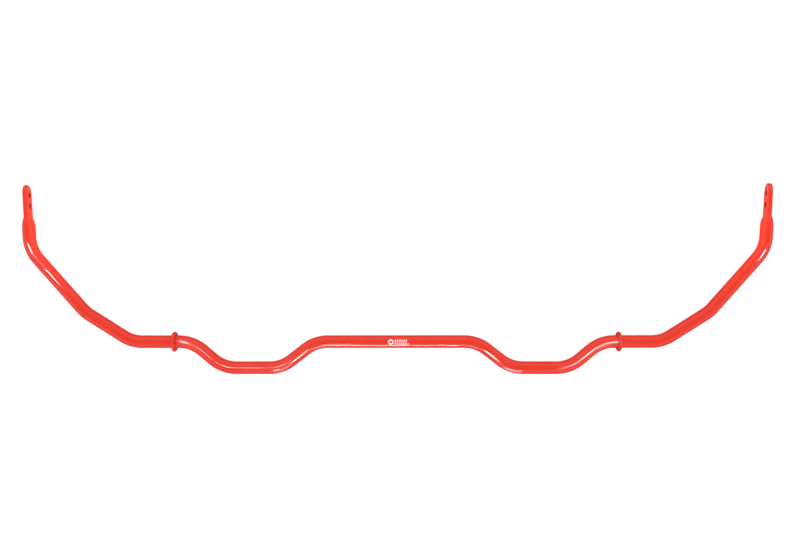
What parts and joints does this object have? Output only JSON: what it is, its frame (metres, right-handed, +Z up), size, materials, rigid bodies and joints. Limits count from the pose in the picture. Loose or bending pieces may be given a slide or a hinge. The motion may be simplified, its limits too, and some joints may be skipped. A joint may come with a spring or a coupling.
{
  "type": "sway bar",
  "caption": "Car sway bar: bent round spring-steel bar with flattened, drilled link ends, wire stop rings beside the bush seats and a small printed label.",
  "frame": {"origin": "middle of the footprint, on the surface that the bar lies on; the line of both bush seats runs along X at y = -104.2 mm, z = 16.9 mm", "axes": "+X across the car towards the right link end, +Y along the arms towards the link ends, +Z up out of the plane that the bar is bent in"},
  "size_m": [1.2506, 0.3166, 0.0338],
  "materials": {
    "coated_steel": "gloss",
    "coated_weld": "gloss",
    "printed_film": "satin"
  },
  "bodies": {
    "root": {"bar": "coated_steel", "stop_ring_left": "coated_steel", "stop_ring_right": "coated_steel", "ring_weld_left": "coated_weld", "ring_weld_right": "coated_weld", "label_film": "printed_film"}
  },
  "joints": []
}
